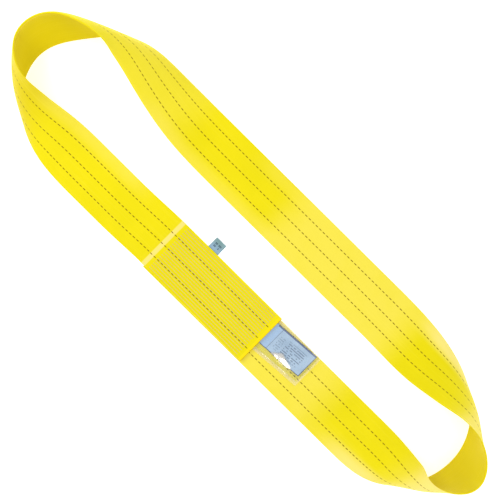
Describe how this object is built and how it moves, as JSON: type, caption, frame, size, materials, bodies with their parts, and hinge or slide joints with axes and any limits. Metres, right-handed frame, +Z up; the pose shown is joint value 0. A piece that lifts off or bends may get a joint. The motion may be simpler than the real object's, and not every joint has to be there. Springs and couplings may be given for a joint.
{
  "type": "endless flat webbing sling",
  "caption": "Endless sling of flat yellow webbing with a sewn lap, a label in a clear sleeve and a small edge tag, lying in an open loop.",
  "frame": {"origin": "on the floor, under the middle of the bounding box of the sling as it lies", "axes": "+X along the sling, +Z up from the floor; the lapped run with its label lies on the -Y side"},
  "size_m": [0.9502, 0.2522, 0.0891],
  "materials": {
    "webbing": "woven polyester, slight sheen",
    "thread": "twisted polyester sewing thread",
    "label": "printed plastic film",
    "sleeve": "clear soft film",
    "tag": "woven tape"
  },
  "bodies": {
    "sling": {"webbing": "webbing", "needle_thread": "thread", "bobbin_thread": "thread", "label_root": "label", "sleeve_root": "sleeve", "tag_root": "tag"},
    "label_flap": {"label": "label", "sleeve": "sleeve"},
    "tag_flap": {"tag": "tag"}
  },
  "joints": [
    {"name": "label_fold", "type": "hinge", "parent": "sling", "child": "label_flap", "pos_m": [0.10564, -0.066, 0.004], "axis": [0, -1, 0], "range_deg": [0, 110]},
    {"name": "tag_fold", "type": "hinge", "parent": "sling", "child": "tag_flap", "pos_m": [-0.04442, -0.03155, 0.0037], "axis": [1, 0, 0], "range_deg": [0, 110]}
  ]
}
